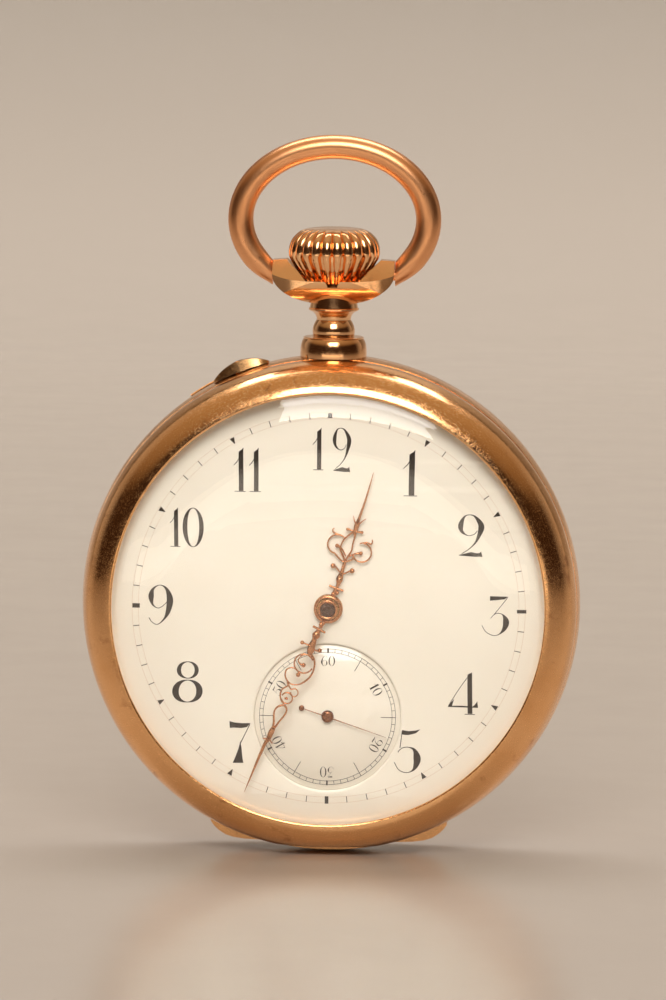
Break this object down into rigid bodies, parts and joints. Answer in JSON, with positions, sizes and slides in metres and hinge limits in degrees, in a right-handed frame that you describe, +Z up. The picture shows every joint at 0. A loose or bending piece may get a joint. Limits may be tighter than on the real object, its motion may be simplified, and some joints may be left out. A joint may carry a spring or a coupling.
{
  "type": "open face pocket watch",
  "caption": "Open-face crown-wound pocket watch, round case with hinged back and inner cover, bow, three-hand dial and lever movement",
  "frame": {"origin": "middle of the lowest point of the bounding box, with the watch upright on the rim at six o'clock", "axes": "+Z up through twelve o'clock and the pendant, dial facing -Y, +X towards three o'clock"},
  "size_m": [0.05, 0.0132, 0.072],
  "materials": {
    "gold_case": "polished rose gold with fine hairline wear",
    "gold_hands": "pierced and polished rose gold",
    "crystal_glass": "clear polished glass",
    "enamel": "glossy cream white vitreous enamel",
    "gilt_plate": "frosted gilt brass",
    "wheel_brass": "gilt, circular grained",
    "steel": "polished and grained steel",
    "blued_steel": "heat blued steel",
    "balance_gold": "polished bimetallic rim with gold screws",
    "ruby": "polished ruby"
  },
  "bodies": {
    "case": {"case_band": "gold_case", "front_bezel": "gold_case", "crystal": "crystal_glass", "pendant": "gold_case", "stem_sleeve": "gold_case", "lid_hinge_pin": "steel", "setting_pin_guard": "gold_case", "case_screws": "steel", "dial": "enamel", "seconds_dial": "enamel", "dial_foot_screws": "steel", "main_plate": "gilt_plate", "barrel_bridge": "gilt_plate", "train_bridge": "gilt_plate", "pallet_cock": "gilt_plate", "balance_cock": "gilt_plate", "bridge_screws": "blued_steel", "mainspring": "steel", "click_spring": "steel", "yoke_spring": "steel", "crown_wheel_screw": "blued_steel", "hairspring": "blued_steel", "jewels": "ruby"},
    "back_lid": {"back_lid": "gold_case"},
    "cuvette": {"cuvette": "gold_case"},
    "bow": {"bow": "gold_case"},
    "crown": {"crown": "gold_case", "winding_stem": "steel", "winding_pinion": "steel"},
    "sliding_pinion": {"sliding_pinion": "steel"},
    "setting_pin": {"setting_pin": "gold_case"},
    "yoke": {"yoke": "steel"},
    "setting_wheel": {"setting_wheel": "steel"},
    "minute_work": {"center_wheel": "wheel_brass", "center_pinion": "steel", "cannon_pinion": "steel", "minute_hand": "gold_hands"},
    "hour_work": {"hour_wheel": "wheel_brass", "hour_hand": "gold_hands"},
    "minute_wheel": {"minute_wheel": "wheel_brass"},
    "barrel": {"barrel": "wheel_brass", "barrel_cover": "wheel_brass"},
    "barrel_arbor": {"barrel_arbor": "steel", "ratchet_wheel": "steel", "ratchet_screw": "blued_steel"},
    "crown_wheel": {"crown_wheel": "steel"},
    "click": {"click": "steel"},
    "third_wheel": {"third_wheel": "wheel_brass", "third_pinion": "steel"},
    "fourth_wheel": {"fourth_wheel": "wheel_brass", "fourth_pinion": "steel", "seconds_hand": "blued_steel"},
    "escape_wheel": {"escape_wheel": "steel", "escape_pinion": "steel"},
    "pallet_fork": {"pallet_fork": "steel", "pallet_stones": "ruby"},
    "balance": {"balance_wheel": "balance_gold", "balance_staff": "steel"},
    "regulator": {"regulator": "steel"}
  },
  "joints": [
    {"name": "back_lid_hinge", "type": "hinge", "parent": "case", "child": "back_lid", "pos_m": [0, 0.0031, 0.00165], "axis": [-1, 0, 0], "range_deg": [0, 100]},
    {"name": "cuvette_hinge", "type": "hinge", "parent": "case", "child": "cuvette", "pos_m": [0, 0.0031, 0.00165], "axis": [-1, 0, 0], "range_deg": [0, 90]},
    {"name": "bow_pivot", "type": "hinge", "parent": "case", "child": "bow", "pos_m": [0, 0.00135, 0.058], "axis": [1, 0, 0], "range_deg": [-100, 100]},
    {"name": "crown_turn", "type": "hinge", "parent": "case", "child": "crown", "pos_m": [0, 0.00135, 0.06], "axis": [0, 0, 1], "continuous": true},
    {"name": "sliding_pinion_slide", "type": "slide", "parent": "crown", "child": "sliding_pinion", "axis": [0, 0, -1], "range_m": [0, 0.00092]},
    {"name": "setting_pin_push", "type": "slide", "parent": "case", "child": "setting_pin", "axis": [0.3681, 0, -0.9298], "range_m": [0, 0.0005], "stiffness_N_per_m": 300, "springref_m": -0.0008},
    {"name": "yoke_pivot", "type": "hinge", "parent": "case", "child": "yoke", "pos_m": [-0.0115, 0.00135, 0.039], "axis": [0, 1, 0], "range_deg": [0, 5.18]},
    {"name": "minute_turn", "type": "hinge", "parent": "case", "child": "minute_work", "pos_m": [0, -0.00355, 0.025], "axis": [0, 1, 0], "continuous": true},
    {"name": "hour_turn", "type": "hinge", "parent": "case", "child": "hour_work", "pos_m": [0, -0.00305, 0.025], "axis": [0, 1, 0], "continuous": true},
    {"name": "minute_wheel_turn", "type": "hinge", "parent": "case", "child": "minute_wheel", "pos_m": [-0.00151, -0.00195, 0.02956], "axis": [0, 1, 0], "continuous": true},
    {"name": "setting_wheel_turn", "type": "hinge", "parent": "case", "child": "setting_wheel", "pos_m": [0, -0.00105, 0.03495], "axis": [0, 1, 0], "continuous": true},
    {"name": "barrel_turn", "type": "hinge", "parent": "case", "child": "barrel", "pos_m": [0.0062, 0.00195, 0.03021], "axis": [0, 1, 0], "continuous": true},
    {"name": "third_turn", "type": "hinge", "parent": "case", "child": "third_wheel", "pos_m": [0.00194, 0.00165, 0.01882], "axis": [0, 1, 0], "continuous": true},
    {"name": "fourth_turn", "type": "hinge", "parent": "case", "child": "fourth_wheel", "pos_m": [0, 0.00145, 0.0141], "axis": [0, 1, 0], "continuous": true},
    {"name": "escape_turn", "type": "hinge", "parent": "case", "child": "escape_wheel", "pos_m": [-0.00501, 0.00075, 0.0155], "axis": [0, 1, 0], "continuous": true},
    {"name": "pallet_swing", "type": "hinge", "parent": "case", "child": "pallet_fork", "pos_m": [-0.00802, 0.00075, 0.01843], "axis": [0, 1, 0], "range_deg": [-5, 5]},
    {"name": "balance_swing", "type": "hinge", "parent": "case", "child": "balance", "pos_m": [-0.0122, 0.00245, 0.0225], "axis": [0, 1, 0], "range_deg": [-270, 270]},
    {"name": "regulator_swing", "type": "hinge", "parent": "case", "child": "regulator", "pos_m": [-0.0122, 0.00455, 0.0225], "axis": [0, 1, 0], "range_deg": [-18, 18]},
    {"name": "crown_wheel_turn", "type": "hinge", "parent": "case", "child": "crown_wheel", "pos_m": [0, 0.00435, 0.03673], "axis": [0, 1, 0], "continuous": true},
    {"name": "barrel_arbor_turn", "type": "hinge", "parent": "case", "child": "barrel_arbor", "pos_m": [0.0062, 0.00395, 0.03021], "axis": [0, 1, 0], "continuous": true},
    {"name": "click_lift", "type": "hinge", "parent": "case", "child": "click", "pos_m": [0.01008, 0.00435, 0.03517], "axis": [0, 1, 0], "range_deg": [-8, 0], "stiffness_Nm_per_rad": 0.00002, "springref_deg": 5.73}
  ],
  "couplings": [
    {"joint": "cuvette_hinge", "follows": "back_lid_hinge", "ratio": 0.9},
    {"joint": "sliding_pinion_slide", "follows": "setting_pin_push", "ratio": 1.84},
    {"joint": "yoke_pivot", "follows": "setting_pin_push", "rad_per_m": 180.39},
    {"joint": "hour_turn", "follows": "minute_turn", "ratio": 0.083333},
    {"joint": "minute_wheel_turn", "follows": "minute_turn", "ratio": -0.33333},
    {"joint": "setting_wheel_turn", "follows": "minute_turn", "ratio": 0.6},
    {"joint": "barrel_turn", "follows": "minute_turn", "ratio": -0.125},
    {"joint": "third_turn", "follows": "minute_turn", "ratio": -8},
    {"joint": "fourth_turn", "follows": "minute_turn", "ratio": 60},
    {"joint": "escape_turn", "follows": "minute_turn", "ratio": -600},
    {"joint": "crown_wheel_turn", "follows": "crown_turn", "ratio": 0.64286},
    {"joint": "barrel_arbor_turn", "follows": "crown_turn", "ratio": -0.5625}
  ]
}
